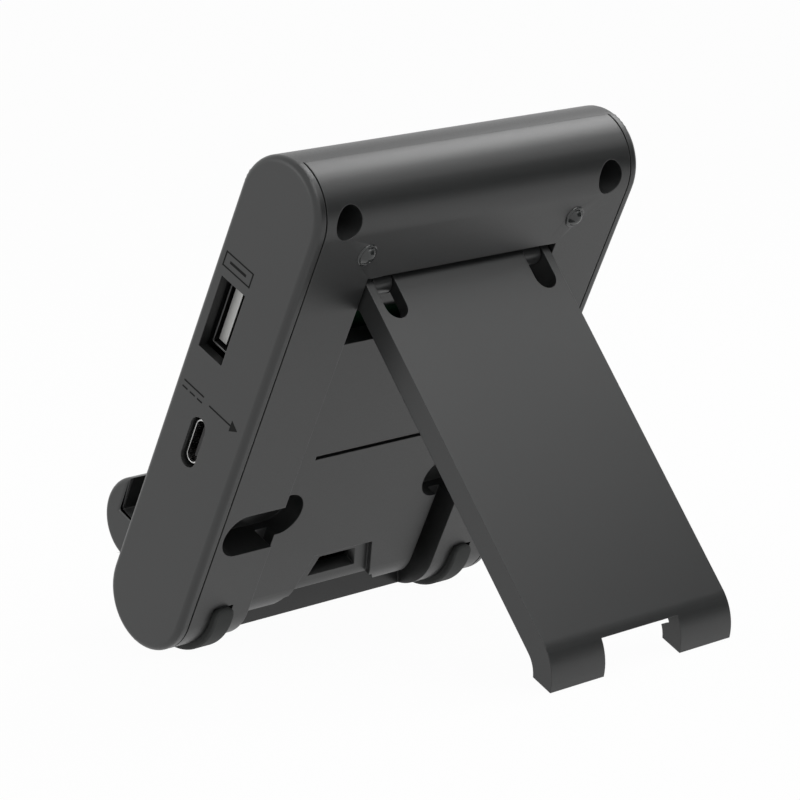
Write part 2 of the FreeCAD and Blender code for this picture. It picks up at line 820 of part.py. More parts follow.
def make_usb_shell():
    high = usb_front_x()
    low = high - usb_shell_depth
    half_y, half_z = usb_shell_y / 2.0, usb_shell_z / 2.0
    wall = usb_shell_wall
    outer = block(low, high, usb_y - half_y, usb_y + half_y, usb_z - half_z, usb_z + half_z)
    hollow = block(low + wall, high + 1.0, usb_y - half_y + wall, usb_y + half_y - wall,
                   usb_z - half_z + wall, usb_z + half_z - wall)
    tabs = []
    for side in (-1, 1):
        z = usb_z + side * (half_z - wall / 2.0)
        for x_low, x_high in ((low + 2.0, low + 5.0), (high - 4.0, high - 2.0)):
            tabs.append(block(x_low, x_high, usb_y + half_y - 0.2, board_front,
                              z - wall / 2.0, z + wall / 2.0))
    return outer.cut(hollow).fuse(tabs).removeSplitter()


def make_usb_tongue():
    high = usb_front_x()
    low = high - usb_shell_depth + usb_shell_wall
    wall = usb_shell_wall
    half_y, half_z = usb_shell_y / 2.0 - wall, usb_shell_z / 2.0 - wall
    base = block(low, high - usb_tongue_reach, usb_y - half_y, usb_y + half_y,
                 usb_z - half_z, usb_z + half_z)
    tongue_y = usb_y - half_y + 0.7
    half = usb_tongue_width / 2.0
    tongue = block(low, high - 0.8, tongue_y, tongue_y + usb_tongue_thickness, usb_z - half, usb_z + half)
    return base.fuse(tongue).removeSplitter()


def power_front_x():
    return half_width - power_shell_setback


def make_power_shell():
    high = power_front_x()
    low = high - power_shell_depth
    outer = long_slot_x(low, high, power_y, power_z, power_shell_y, power_shell_z)
    hollow = long_slot_x(low + power_shell_wall, high + 1.0, power_y, power_z,
                         power_shell_y - 2.0 * power_shell_wall, power_shell_z - 2.0 * power_shell_wall)
    tabs = []
    for side in (-1, 1):
        z = power_z + side * (power_shell_z / 2.0 - power_shell_y / 2.0 - 0.4)
        tabs.append(block(low + 1.0, low + 2.4, power_y + power_shell_y / 2.0 - 0.1, board_front,
                          z - 0.5, z + 0.5))
    return outer.cut(hollow).fuse(tabs).removeSplitter()


def make_power_tongue():
    high = power_front_x()
    low = high - power_shell_depth + power_shell_wall
    base = long_slot_x(low, low + 1.5, power_y, power_z, power_shell_y - 2.0 * power_shell_wall,
                       power_shell_z - 2.0 * power_shell_wall)
    half = power_tongue_width / 2.0
    tongue = block(low, low + 1.5 + power_tongue_reach, power_y - power_tongue_thickness / 2.0,
                   power_y + power_tongue_thickness / 2.0, power_z - half, power_z + half)
    return base.fuse(tongue).removeSplitter()


def make_main_board():
    board = block(board_left, board_right, board_front, board_rear, board_bottom, board_top)
    cuts = []
    for side in (-1, 1):
        for z in (board_post_low, board_post_high):
            cuts.append(rod_y(board_screw_shank_radius + fit_gap, side * board_post_x, 0, outer_radius, z))
    return board.cut(cuts)


def make_hub_chip():
    half = chip_size / 2.0
    return block(chip_x - half, chip_x + half, board_front - chip_thickness, board_front,
                 chip_z - half, chip_z + half)


def sole_corner():
    # outer lower corner of the soles with the kickstand open
    y, z = on_arc(outer_radius, sole_angle)
    turn = math.radians(open_angle)
    dy, dz = y - hinge_y, z - hinge_height
    sole_y = hinge_y + dy * math.cos(turn) - dz * math.sin(turn)
    sole_z = hinge_height + dy * math.sin(turn) + dz * math.cos(turn)
    return sole_y, sole_z


def lean_angle():
    # the ground touches the rubber feet's curve and the outer corner of the soles
    sole_y, sole_z = sole_corner()
    rise = sole_z + arc_height
    distance = math.hypot(sole_y, rise)
    return math.degrees(math.atan2(rise, sole_y) + math.asin((outer_radius + foot_rise) / distance))


def build_all():
    return {
        "front_shell": make_front_shell(),
        "rear_cover": make_rear_cover(),
        "kickstand": make_kickstand(),
        "hinge_pin": make_hinge_pin(),
        "foot_left": make_foot(-1),
        "foot_right": make_foot(1),
        "cradle": make_cradle(),
        "cradle_base": make_cradle_base(),
        "cradle_pad": make_cradle_pad(),
        "cradle_screws": make_cradle_screws(),
        "base_screws": make_base_screws(),
        "plug_shell": make_plug_shell(),
        "plug_body": make_plug_body(),
        "plug_board": make_plug_board(),
        "plug_cable": make_plug_cable(),
        "rest_pads": make_rest_pads(),
        "usb_shell": make_usb_shell(),
        "usb_tongue": make_usb_tongue(),
        "power_shell": make_power_shell(),
        "power_tongue": make_power_tongue(),
        "main_board": make_main_board(),
        "hub_chip": make_hub_chip(),
        "board_screws": make_board_screws(),
        "case_screws": make_case_screws(),
    }


def stand_on_ground(shapes):
    # lean the body back, then put the origin under the middle of the whole stand
    lean = lean_angle()
    for shape in shapes.values():
        shape.rotate(point(0, 0, 0), point(1, 0, 0), -lean)
    box = Part.makeCompound(list(shapes.values())).optimalBoundingBox(False)
    shift = point(-box.Center.x, -box.Center.y, -box.ZMin)
    for shape in shapes.values():
        shape.translate(shift)
    hinge = FreeCAD.Placement(shift, FreeCAD.Rotation(point(1, 0, 0), -lean))
    print("lean", round(lean, 3), "shift", shift)
    print("hinge", hinge.multVec(point(0, hinge_y, hinge_height)))
    return shapes


shapes = stand_on_ground(build_all())
os.makedirs("parts", exist_ok=True)
for name, shape in shapes.items():
    print(name, len(shape.Solids), round(shape.Volume, 1), shape.isValid())
    shape.exportStep("parts/" + name + ".step")
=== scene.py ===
import bpy
import bmesh
import json
import math
from mathutils import Matrix, Vector

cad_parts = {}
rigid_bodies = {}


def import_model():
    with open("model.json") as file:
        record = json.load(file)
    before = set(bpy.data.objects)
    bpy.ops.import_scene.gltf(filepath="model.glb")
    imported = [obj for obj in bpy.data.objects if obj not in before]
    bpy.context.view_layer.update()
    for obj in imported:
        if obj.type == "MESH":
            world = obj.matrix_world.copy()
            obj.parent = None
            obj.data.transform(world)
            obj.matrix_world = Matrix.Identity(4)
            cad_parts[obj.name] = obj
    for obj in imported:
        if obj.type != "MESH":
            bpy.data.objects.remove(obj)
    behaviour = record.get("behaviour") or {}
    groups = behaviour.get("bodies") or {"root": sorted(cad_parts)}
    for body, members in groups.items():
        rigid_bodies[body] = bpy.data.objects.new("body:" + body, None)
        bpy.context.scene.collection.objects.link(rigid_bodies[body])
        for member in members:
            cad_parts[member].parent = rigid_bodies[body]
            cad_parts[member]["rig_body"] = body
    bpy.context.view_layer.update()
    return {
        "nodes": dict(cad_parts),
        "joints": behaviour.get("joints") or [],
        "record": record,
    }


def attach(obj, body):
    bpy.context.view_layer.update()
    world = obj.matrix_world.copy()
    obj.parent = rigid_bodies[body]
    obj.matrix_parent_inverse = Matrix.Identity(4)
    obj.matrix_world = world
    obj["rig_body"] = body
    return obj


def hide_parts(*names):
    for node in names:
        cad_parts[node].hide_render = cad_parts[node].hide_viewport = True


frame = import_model()
print("frame loaded:", len(frame["nodes"]), "nodes")

mm = 0.001
mounts = {mount["name"]: mount for mount in frame["record"]["mounts"]}
hinge = frame["joints"][0]

# the slab's own axes: x across, y out of the rear face, z up along the slab
slab = {
    "hinge": (7.85, 28.9),  # y and z of the kickstand's pin, mm
    "radius": 10.0,  # of the rounded upper and lower ends
    "arcHeight": 41.4,  # of their centres over and under the middle
}
lean = math.atan2(mounts["console_back"]["axis"][2], -mounts["console_back"]["axis"][1])
hingePlace = Vector(hinge["pos_m"]) / mm


def turned(y, z, angle):
    return y * math.cos(angle) + z * math.sin(angle), -y * math.sin(angle) + z * math.cos(angle)


def onSlab(x, y, z):
    # a point given in the slab's millimetres, in the frame's metres
    dy, dz = turned(y - slab["hinge"][0], z - slab["hinge"][1], lean)
    return Vector((x, hingePlace.y + dy, hingePlace.z + dz)) * mm


def along(x, y, z):
    # a direction given on the slab
    dy, dz = turned(y, z, lean)
    return Vector((x, dy, dz))


slabMatrix = Matrix.Translation(onSlab(0, 0, 0)) @ Matrix.Rotation(-lean, 4, "X")


# materials

def hexLinear(text):
    channels = [int(text[i:i + 2], 16) / 255 for i in (1, 3, 5)]
    return tuple([c / 12.92 if c <= 0.04045 else ((c + 0.055) / 1.055) ** 2.4 for c in channels] + [1.0])


def addNode(tree, kind, settings=None, inputs=None):
    # settings are the node's own fields, inputs are values or (node, output) links
    node = tree.nodes.new(kind)
    for field, value in (settings or {}).items():
        setattr(node, field, value)
    for socket, value in (inputs or {}).items():
        if isinstance(value, tuple) and isinstance(value[0], bpy.types.Node):
            tree.links.new(value[0].outputs[value[1]], node.inputs[socket])
        else:
            node.inputs[socket].default_value = value
    return node


def newMaterial(name):
    material = bpy.data.materials.new(name)
    material.use_nodes = True
    material.node_tree.nodes.clear()
    return material, material.node_tree


def shaded(material, tree, inputs):
    # the material's surface, as the last step of every recipe below
    shader = addNode(tree, "ShaderNodeBsdfPrincipled", {}, inputs)
    addNode(tree, "ShaderNodeOutputMaterial", {}, {"Surface": (shader, "BSDF")})
    return material


moulding = {
    "grainSize": 0.28,  # lengths in mm
    "grainDepth": 0.02,
    "cloudSize": 22.0,  # of the slow change from one grey to the other
    "edgeRadius": 0.22,  # the edges catch light as if they were rounded so far
    "roughness": 0.38,
}


def grainedPlastic(name, colour, paler):
    # injection-moulded ABS from a spark-eroded tool: fine even grain that spreads every highlight
    roughness = moulding["roughness"]
    material, tree = newMaterial(name)
    place = addNode(tree, "ShaderNodeTexCoord")
    grain = addNode(tree, "ShaderNodeTexNoise", {}, {
        "Vector": (place, "Object"), "Scale": 1 / (moulding["grainSize"] * mm),
        "Detail": 2.0, "Roughness": 0.6})
    cloud = addNode(tree, "ShaderNodeTexNoise", {}, {
        "Vector": (place, "Object"), "Scale": 1 / (moulding["cloudSize"] * mm),
        "Detail": 3.0, "Roughness": 0.55})
    shade = addNode(tree, "ShaderNodeMix", {"data_type": "RGBA"}, {
        "Factor": (cloud, "Fac"), 6: hexLinear(colour), 7: hexLinear(paler)})
    speck = addNode(tree, "ShaderNodeMapRange", {}, {
        "Value": (grain, "Fac"), "From Min": 0.3, "From Max": 0.7,
        "To Min": roughness - 0.04, "To Max": roughness + 0.05})
    edge = addNode(tree, "ShaderNodeBevel", {"samples": 6}, {"Radius": moulding["edgeRadius"] * mm})
    bump = addNode(tree, "ShaderNodeBump", {}, {
        "Height": (grain, "Fac"), "Strength": 0.35, "Distance": moulding["grainDepth"] * mm,
        "Normal": (edge, "Normal")})
    return shaded(material, tree, {
        "Base Color": (shade, 2), "Roughness": (speck, "Result"), "Normal": (bump, "Normal"), "IOR": 1.53})


def mouldedRubber(name, colour):
    # soft elastomer: nearly black, dull, with a faint bloom
    material, tree = newMaterial(name)
    place = addNode(tree, "ShaderNodeTexCoord")
    bloom = addNode(tree, "ShaderNodeTexNoise", {}, {
        "Vector": (place, "Object"), "Scale": 1 / (4 * mm), "Detail": 4.0, "Roughness": 0.6})
    shade = addNode(tree, "ShaderNodeMix", {"data_type": "RGBA"}, {
        "Factor": (bloom, "Fac"), 6: hexLinear(colour), 7: hexLinear("#2c2e2d")})
    bump = addNode(tree, "ShaderNodeBump", {}, {
        "Height": (bloom, "Fac"), "Strength": 0.15, "Distance": 0.05 * mm})
    return shaded(material, tree, {
        "Base Color": (shade, 2), "Roughness": 0.72, "Normal": (bump, "Normal"), "IOR": 1.52})


def brushedMetal(name, colour, roughness, stroke):
    # rolled and stamped sheet: fine lines along one way, brighter where they catch the light
    material, tree = newMaterial(name)
    place = addNode(tree, "ShaderNodeTexCoord")
    lines = addNode(tree, "ShaderNodeMapping", {}, {"Vector": (place, "Object"), "Scale": stroke})
    streak = addNode(tree, "ShaderNodeTexNoise", {}, {
        "Vector": (lines, "Vector"), "Scale": 1 / (0.3 * mm), "Detail": 3.0})
    rough = addNode(tree, "ShaderNodeMapRange", {}, {
        "Value": (streak, "Fac"), "To Min": roughness - 0.06, "To Max": roughness + 0.1})
    bump = addNode(tree, "ShaderNodeBump", {}, {
        "Height": (streak, "Fac"), "Strength": 0.1, "Distance": 0.01 * mm})
    return shaded(material, tree, {
        "Base Color": hexLinear(colour), "Metallic": 1.0,
        "Roughness": (rough, "Result"), "Normal": (bump, "Normal")})


def boardLaminate(name):
    # epoxy-glass board under solder mask: weave faintly visible, glossy lacquer
    material, tree = newMaterial(name)
    place = addNode(tree, "ShaderNodeTexCoord")
    weave = addNode(tree, "ShaderNodeTexChecker", {}, {
        "Vector": (place, "Object"), "Scale": 1 / (0.6 * mm),
        "Color1": hexLinear("#0c3a22"), "Color2": hexLinear("#0e4026")})
    return shaded(material, tree, {
        "Base Color": (weave, "Color"), "Roughness": 0.32, "IOR": 1.55})


def connectorNylon(name):
    # glass-filled nylon of connector bodies: black, smooth, with short pale fibres just under the skin
    material, tree = newMaterial(name)
    place = addNode(tree, "ShaderNodeTexCoord")
    fibre = addNode(tree, "ShaderNodeTexVoronoi", {}, {
        "Vector": (place, "Object"), "Scale": 1 / (0.25 * mm)})
    tone = addNode(tree, "ShaderNodeMapRange", {}, {
        "Value": (fibre, "Distance"), "From Max": 0.8, "To Min": 0.38, "To Max": 0.5})
    return shaded(material, tree, {
        "Base Color": hexLinear("#161617"), "Roughness": (tone, "Result"), "IOR": 1.53})


def polyimideFilm(name):
    # flat flexible cable: amber film over copper lines
    material, tree = newMaterial(name)
    place = addNode(tree, "ShaderNodeTexCoord")
    lines = addNode(tree, "ShaderNodeTexWave", {"bands_direction": "X"}, {
        "Vector": (place, "Object"), "Scale": 1 / (6 * mm)})
    shade = addNode(tree, "ShaderNodeMix", {"data_type": "RGBA"}, {
        "Factor": (lines, "Fac"), 6: hexLinear("#6b3c10"), 7: hexLinear("#8a5418")})
    return shaded(material, tree, {
        "Base Color": (shade, 2), "Roughness": 0.28, "IOR": 1.6})


def polishedPlastic(name, colour):
    # glossy ABS from a polished part of the tool: sharp small highlights on the same dark grey
    material, tree = newMaterial(name)
    place = addNode(tree, "ShaderNodeTexCoord")
    ripple = addNode(tree, "ShaderNodeTexNoise", {}, {"Vector": (place, "Object"), "Scale": 1 / (1.5 * mm)})
    bump = addNode(tree, "ShaderNodeBump", {}, {
        "Height": (ripple, "Fac"), "Strength": 0.05, "Distance": 0.02 * mm})
    return shaded(material, tree, {
        "Base Color": hexLinear(colour), "Roughness": 0.14, "Normal": (bump, "Normal"), "IOR": 1.53})


def printedInk(name, colour):
    # pad-printed ink: flat black, a little thinner here and there
    material, tree = newMaterial(name)
    place = addNode(tree, "ShaderNodeTexCoord")
    thin = addNode(tree, "ShaderNodeTexNoise", {}, {"Vector": (place, "Object"), "Scale": 1 / (0.4 * mm)})
    shade = addNode(tree, "ShaderNodeMix", {"data_type": "RGBA"}, {
        "Factor": (thin, "Fac"), 6: hexLinear(colour), 7: hexLinear("#111211")})
    return shaded(material, tree, {
        "Base Color": (shade, 2), "Roughness": 0.7, "IOR": 1.25})


finish = {
    "shell_plastic": grainedPlastic("grainedAbsShell", "#262727", "#292a2a"),
    "kickstand_plastic": grainedPlastic("grainedAbsKickstand", "#272828", "#2a2b2b"),
    "foot_rubber": mouldedRubber("mouldedRubber", "#262827"),
    "pin_steel": brushedMetal("groundPinSteel", "#b9b9ba", 0.24, (0.05, 1.0, 1.0)),
    "screw_steel": brushedMetal("blackenedScrewSteel", "#343436", 0.4, (1.0, 1.0, 1.0)),
    "connector_steel": brushedMetal("stampedConnectorSteel", "#c9c9c8", 0.26, (0.1, 1.0, 1.0)),
    "connector_plastic": connectorNylon("blackConnectorNylon"),
    "board_laminate": boardLaminate("greenBoardLaminate"),
    "cable_film": polyimideFilm("amberCableFilm"),
    "polished_studs": polishedPlastic("polishedAbsStud", "#2c2e2e"),
    "printed_ink": printedInk("blackPadPrint", "#0b0c0b"),
    "bright_lip": brushedMetal("satinTongueLip", "#b4b4b2", 0.42, (1.0, 1.0, 0.1)),
    # a darker copy of the connector steel, used on the data port's shell: painted shade that dims its
    # shine, with a rougher finish
    "shade_dimmed_steel": brushedMetal("dullSteelPaintedShade", "#6f6f6f", 0.4, (0.1, 1.0, 1.0)),
    "contact_gold": brushedMetal("goldPlatedContact", "#d9b45f", 0.2, (0.2, 1.0, 1.0)),
}
slotOf = {part["node"]: part["material_slot"] for part in frame["record"]["subparts"]}
shadeDimmedParts = {"usb_shell": "shade_dimmed_steel"}  # its edge hardly shines, so its steel is painted much darker than the other connector steel: painted shade, with a duller roughness
for nodeName, node in frame["nodes"].items():
    node.data.materials.clear()
    node.data.materials.append(finish[shadeDimmedParts.get(nodeName, slotOf[nodeName])])
print("materials made:", len(finish))


# pieces

def makeObject(name, mesh, material):
    piece = bpy.data.objects.new(name, mesh)
    bpy.context.scene.collection.objects.link(piece)
    mesh.materials.clear()
    mesh.materials.append(material)
    return piece


def settled(piece):
    # the piece with its modifiers worked into its mesh
    bpy.context.view_layer.update()
    graph = bpy.context.evaluated_depsgraph_get()
    mesh = bpy.data.meshes.new_from_object(piece.evaluated_get(graph))
    piece.modifiers.clear()
    piece.data = mesh
    return piece


softened = {
    "pieces": {  # piece: node, width of the rounded edges in mm, arcs that are made rounder
        # width 0: only the material rounds the edges, because a bevel leaves faults round the recess
        "slabFront": ("front_shell", 0, ["slabTop", "slabEnd"]),
        "slabRear": ("rear_cover", 0, ["slabTop", "slabEnd"]),
        "kickstandLeg": ("kickstand", 0, []),
        "consoleCradle": ("cradle", 0.3, []),
        "cradleUnderside": ("cradle_base", 0.15, []),
        "rubberFootLeft": ("foot_left", 0.16, ["rubberFeet"]),
        "rubberFootRight": ("foot_right", 0.16, ["rubberFeet"]),
        "consolePad": ("cradle_pad", 0.2, []),
        "consoleRests": ("rest_pads", 0.3, []),
        "dataPortShell": ("usb_shell", 0.08, []),
        "powerPortShell": ("power_shell", 0.06, []),
        "consolePlug": ("plug_shell", 0.08, []),
    },
    "weldGap": 0.002,  # corners closer than this are one, mm
    "flatAngle": 0.6,  # faces that differ less are one, degrees
    "coverEnd": 37.9,  # x past which the rear cover's corners lie in its ends, mm
    "seamAt": 37.68,  # x where those ends stand instead
    "segments": 2,
    "mostCorners": 8,  # faces with more corners are split before they are rounded
    "sharpAngle": 28.0,  # edges that are rounded, degrees
    "creaseAngle": 36.0,  # edges that stay sharp in the shading
    "flatShare": 80,  # how strongly the large faces set the shading
    "roomShare": 0.42,  # how much of the nearest edge a rounding may take
    "arcStep": 4.0,  # degrees between the added lines of an arc
    "inside": 0.03,  # how far a corner of an arc may lie inside and outside its radii, mm
    "outside": 0.01,
    "angleSlack": 0.2,  # and beyond its span, degrees
    "endDepth": 0.05,  # corners this near to the outermost one lie in the end, mm
    "endNormal": 0.98,  # faces that look along x more than this are ends, which aren't cut
    "chordShare": 0.985,  # a new corner's least distance from the centre, as a share of the radius
    "arcs": {  # y and z of the centre, radii in mm, middle and half of the span in degrees
        "slabTop": ((0.0, slab["arcHeight"]), (slab["radius"], 9.55), 90.0, 90.0),
        "slabEnd": ((0.0, -slab["arcHeight"]), (slab["radius"], 9.55), -90.0, 90.0),
        "rubberFeet": ((0.0, -slab["arcHeight"]), (11.3, 10.9), -90.0, 90.0),
    },
}


def roundArc(shape, arc):
    # lines are cut along the facets of an arc and moved out onto the true radius
    (centreY, centreZ), radii, middle, half = softened["arcs"][arc]
    toSlab = slabMatrix.inverted()

    def polar(vert):
        spot = toSlab @ vert.co
        dy, dz = spot.y / mm - centreY, spot.z / mm - centreZ
        return math.hypot(dy, dz), (math.degrees(math.atan2(dz, dy)) - middle + 180) % 360 - 180

    def onArc(vert):
        radius, angle = polar(vert)
        inSpan = abs(angle) < half + softened["angleSlack"]
        return inSpan and min(radii) - softened["inside"] < radius < max(radii) + softened["outside"]

    centre = onSlab(0, centreY, centreZ)
    outermost = max(vert.co.x for vert in shape.verts if onArc(vert)) - softened["endDepth"] * mm
    ends = [vert for vert in shape.verts if onArc(vert) and vert.co.x > outermost]
    marks = sorted({round(polar(vert)[1], 1) for vert in ends})
    for low, high in zip(marks, marks[1:]):
        parts = max(1, round((high - low) / softened["arcStep"]))
        for i in range(1, parts):
            angle = math.radians(middle + low + (high - low) * i / parts)
            cutArc(shape, onArc, polar, radii, centre, angle)


def cutArc(shape, onArc, polar, radii, centre, angle):
    normal = along(0, -math.sin(angle), math.cos(angle))
    outward = along(0, math.cos(angle), math.sin(angle))
    faces = [face for face in shape.faces if abs(face.normal.x) < softened["endNormal"] and all(
        onArc(vert) and (vert.co - centre).dot(outward) > 0 for vert in face.verts)]
    edges = dict.fromkeys(edge for face in faces for edge in face.edges)
    verts = dict.fromkeys(vert for face in faces for vert in face.verts)
    cut = bmesh.ops.bisect_plane(shape, geom=[*verts, *edges, *faces], plane_co=centre,
                                 plane_no=normal, dist=softened["weldGap"] * mm)
    for vert in [part for part in cut["geom_cut"] if isinstance(part, bmesh.types.BMVert)]:
        radius = polar(vert)[0]
        for wanted in radii:
            if wanted * softened["chordShare"] < radius < wanted:
                vert.co += outward * (wanted - radius) * mm


def isSharp(edge):
    return len(edge.link_faces) == 2 and edge.calc_face_angle(0) > math.radians(softened["sharpAngle"])


def weighEdges(shape, width):
    # each sharp edge is rounded as far as its neighbours leave room
    weights = shape.edges.layers.float.new("bevel_weight_edge")
    sharp = {edge for edge in shape.edges if isSharp(edge)}
    room = {}
    for vert in {vert for edge in sharp for vert in edge.verts}:
        guides = list(vert.link_edges)
        if sum(edge in sharp for edge in guides) == 2:
            guides = [edge for edge in guides if edge not in sharp]
        lengths = [edge.calc_length() for edge in guides]
        room[vert] = softened["roomShare"] * min(lengths) if lengths else width * mm
    for edge in sharp:
        edge[weights] = min([1.0] + [room[vert] / (width * mm) for vert in edge.verts])


def openSeam(shape):
    # the cover's ends stand back from the end walls, which leaves a dark line
    for vert in shape.verts:
        if abs(vert.co.x) > softened["coverEnd"] * mm:
            vert.co.x = math.copysign(softened["seamAt"] * mm, vert.co.x)


def softenEdges(name, nodeName, width, arcs):
    source = frame["nodes"][nodeName]
    mesh = source.data.copy()
    shape = bmesh.new()
    shape.from_mesh(mesh)
    bmesh.ops.remove_doubles(shape, verts=shape.verts, dist=softened["weldGap"] * mm)
    if nodeName == "rear_cover":
        openSeam(shape)
    if width:
        bmesh.ops.dissolve_limit(shape, angle_limit=math.radians(softened["flatAngle"]),
                                 verts=shape.verts, edges=shape.edges)
    for arc in arcs:
        roundArc(shape, arc)
    if width:
        wide = [face for face in shape.faces if len(face.verts) > softened["mostCorners"]]
        bmesh.ops.triangulate(shape, faces=wide, quad_method="BEAUTY", ngon_method="BEAUTY")
        weighEdges(shape, width)
    shape.to_mesh(mesh)
    shape.free()
    for attribute in [a.name for a in mesh.attributes if a.name == "custom_normal"]:
        mesh.attributes.remove(mesh.attributes[attribute])
    piece = makeObject(name, mesh, source.data.materials[0])
    mesh.shade_smooth()
    if width:
        bevel = piece.modifiers.new("edgeRadius", "BEVEL")
        bevel.width = width * mm
        bevel.segments = softened["segments"]
        bevel.limit_method = "WEIGHT"
        bevel.use_clamp_overlap = False
        bevel.loop_slide = False
        bevel.miter_outer = "MITER_SHARP"
        settled(piece)
    piece.data.set_sharp_from_angle(angle=math.radians(softened["creaseAngle"]))
    flats = piece.modifiers.new("flatsStayFlat", "WEIGHTED_NORMAL")
    flats.mode = "FACE_AREA"
    flats.weight = softened["flatShare"]
    flats.keep_sharp = True
    settled(piece)
    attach(piece, source["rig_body"])
    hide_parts(nodeName)


for pieceName, (nodeName, width, arcs) in softened["pieces"].items():
    softenEdges(pieceName, nodeName, width, arcs)
print("pieces made from the CAD:", len(softened["pieces"]))


# printed marks, metal lip, studs and contacts that the CAD leaves out
details = {
    "markSkin": (39.96, 40.03),  # x of the back and the front of the printed marks, mm
    "dataMark": [  # a small screen, as outlines in y and z
        [(-8.1, 25.7), (-7.82, 25.7), (-7.82, 28.7), (-8.1, 28.7)],
        [(-0.78, 25.7), (-0.5, 25.7), (-0.5, 28.7), (-0.78, 28.7)],
        [(-7.8, 25.7), (-0.8, 25.7), (-0.8, 25.98), (-7.8, 25.98)],
        [(-7.8, 28.42), (-0.8, 28.42), (-0.8, 28.7), (-7.8, 28.7)],
        [(-6.5, 26.95), (-2.1, 26.95), (-2.1, 27.45), (-6.5, 27.45)],
    ],
    "powerMark": [  # a bar over three dashes, and an arrow
        [(-7.9, 1.35), (-2.3, 1.35), (-2.3, 1.65), (-7.9, 1.65)],
        [(-7.9, 0.1), (-6.5, 0.1), (-6.5, 0.4), (-7.9, 0.4)],
        [(-5.8, 0.1), (-4.4, 0.1), (-4.4, 0.4), (-5.8, 0.4)],
        [(-3.7, 0.1), (-2.3, 0.1), (-2.3, 0.4), (-3.7, 0.4)],
        [(-0.5, 0.73), (5.6, 0.73), (5.6, 1.03), (-0.5, 1.03)],
        [(5.6, -0.25), (7.5, 0.88), (5.6, 2.0)],
    ],
    "tongueLip": [[(-5.95, 11.05), (-3.95, 11.05), (-3.95, 22.05), (-5.95, 22.05)]],
    "lipSkin": (36.68, 37.0),  # x of its back and front
    "studPlaces": [(25.9, 37.3), (-25.9, 37.3)],  # x and z
    "studFoot": slab["radius"],  # y of the rear face
    "studProfile": [  # distance from the axis, height over the rear face
        (0.0, 1.35), (0.45, 1.29), (0.85, 1.12), (1.2, 0.85), (1.45, 0.55), (1.58, 0.32), (1.66, 0.26),
        (1.76, 0.3), (1.92, 0.31), (2.06, 0.24), (2.16, 0.1), (2.2, -0.05), (2.2, -0.3), (0.0, -0.3),
    ],
    "studSteps": 40,
    "studCrease": 50.0,  # degrees
}


def meshOf(shape, name):
    bmesh.ops.recalc_face_normals(shape, faces=shape.faces)
    mesh = bpy.data.meshes.new(name)
    shape.to_mesh(mesh)
    shape.free()
    return mesh


def addPrisms(name, skin, material):
    # each outline becomes a thin block between the two sides of its skin
    shape = bmesh.new()
    for outline in details[name]:
        back, front = ([shape.verts.new(onSlab(x, y, z)) for y, z in outline] for x in details[skin])
        shape.faces.new(back)
        shape.faces.new(front)
        for i in range(len(outline)):
            shape.faces.new([back[i - 1], back[i], front[i], front[i - 1]])
    piece = makeObject(name, meshOf(shape, name), finish[material])
    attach(piece, "stand")


def addStuds():
    # each stud is turned round an axis that stands out of the rear face
    shape = bmesh.new()
    steps = details["studSteps"]

    def ring(x, z, radius, height):
        turns = [2 * math.pi * i / steps for i in range(steps if radius else 1)]
        spots = [(x + radius * math.cos(turn), z + radius * math.sin(turn)) for turn in turns]
        return [shape.verts.new(onSlab(a, details["studFoot"] + height, b)) for a, b in spots]

    for x, z in details["studPlaces"]:
        rings = [ring(x, z, *step) for step in details["studProfile"]]
        for upper, lower in zip(rings, rings[1:]):
            for i in range(steps):
                j = (i + 1) % steps
                around = [upper[i % len(upper)], upper[j % len(upper)],
                          lower[j % len(lower)], lower[i % len(lower)]]
                shape.faces.new(list(dict.fromkeys(around)))
    mesh = meshOf(shape, "rearStuds")
    mesh.shade_smooth()
    mesh.set_sharp_from_angle(angle=math.radians(details["studCrease"]))
    piece = makeObject("rearStuds", mesh, finish["polished_studs"])
    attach(piece, "stand")


contacts = {  # row: count, pitch, size, place of the first contact, all in slab millimetres
    "dataContacts": (4, 2.33, (5.6, 0.14, 1.0), (33.3, -3.98, 13.05)),
    "powerContacts": (10, 0.6, (3.6, 0.1, 0.28), (35.8, -0.94, -10.3)),
}


def contactTree():
    # a row of equal contact blades, set out along the slab's height
    tree = bpy.data.node_groups.new("contactRow", "GeometryNodeTree")
    kinds = {"Count": "NodeSocketInt", "First": "NodeSocketVector", "Step": "NodeSocketVector",
             "Size": "NodeSocketVector", "Turn": "NodeSocketVector", "Metal": "NodeSocketMaterial"}
    for name, kind in kinds.items():
        tree.interface.new_socket(name, in_out="INPUT", socket_type=kind)
    tree.interface.new_socket("Geometry", in_out="OUTPUT", socket_type="NodeSocketGeometry")
    given = addNode(tree, "NodeGroupInput")
    row = addNode(tree, "GeometryNodeMeshLine", {"mode": "OFFSET"}, {
        "Count": (given, "Count"), "Start Location": (given, "First"), "Offset": (given, "Step")})
    blade = addNode(tree, "GeometryNodeMeshCube", {}, {"Size": (given, "Size")})
    copies = addNode(tree, "GeometryNodeInstanceOnPoints", {}, {
        "Points": (row, "Mesh"), "Instance": (blade, "Mesh"), "Rotation": (given, "Turn")})
    real = addNode(tree, "GeometryNodeRealizeInstances", {}, {"Geometry": (copies, "Instances")})
    metal = addNode(tree, "GeometryNodeSetMaterial", {}, {
        "Geometry": (real, "Geometry"), "Material": (given, "Metal")})
    addNode(tree, "NodeGroupOutput", {}, {"Geometry": (metal, "Geometry")})
    return tree


